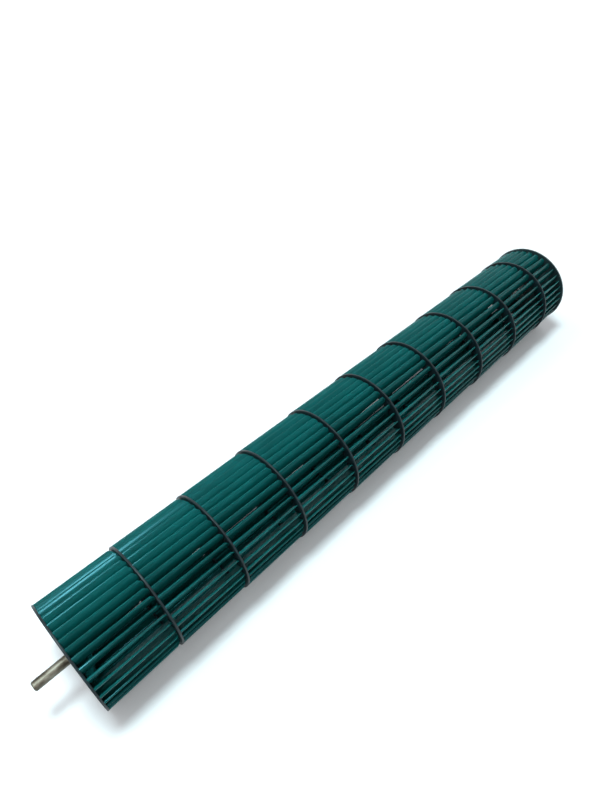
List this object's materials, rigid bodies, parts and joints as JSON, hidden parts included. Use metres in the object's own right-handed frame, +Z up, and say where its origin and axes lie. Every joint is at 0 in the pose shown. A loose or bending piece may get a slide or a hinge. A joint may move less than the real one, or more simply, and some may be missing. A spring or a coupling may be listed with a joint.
{
  "type": "cross flow fan",
  "caption": "Long moulded cross flow fan rotor for a wall-mounted air conditioner, with a steel stub shaft at one end and a rubber-mounted motor hub at the other.",
  "frame": {"origin": "centre of the motor bore's mouth, level with the outer face of the motor end plate", "axes": "+X out of the motor bore along the rotor's axis, so the rotor runs to -X; +Z up"},
  "size_m": [0.6688, 0.095, 0.095],
  "materials": {
    "blade_plastic": "gloss, slightly translucent teal, glass-filled",
    "plate_plastic": "dark charcoal, satin",
    "shaft_steel": "turned, worn",
    "bush_rubber": "matt",
    "hub_aluminium": "turned",
    "screw_steel": "black oxide"
  },
  "bodies": {
    "root": {"segment_01_shaft_end": "blade_plastic", "segment_02": "blade_plastic", "segment_03": "blade_plastic", "segment_04": "blade_plastic", "segment_05": "blade_plastic", "segment_06": "blade_plastic", "segment_07": "blade_plastic", "segment_08": "blade_plastic", "segment_09": "blade_plastic", "segment_10_motor_end": "blade_plastic", "motor_end_plate": "plate_plastic", "stub_shaft": "shaft_steel", "damper_bush": "bush_rubber", "motor_hub": "hub_aluminium", "grub_screw": "screw_steel"}
  },
  "joints": []
}
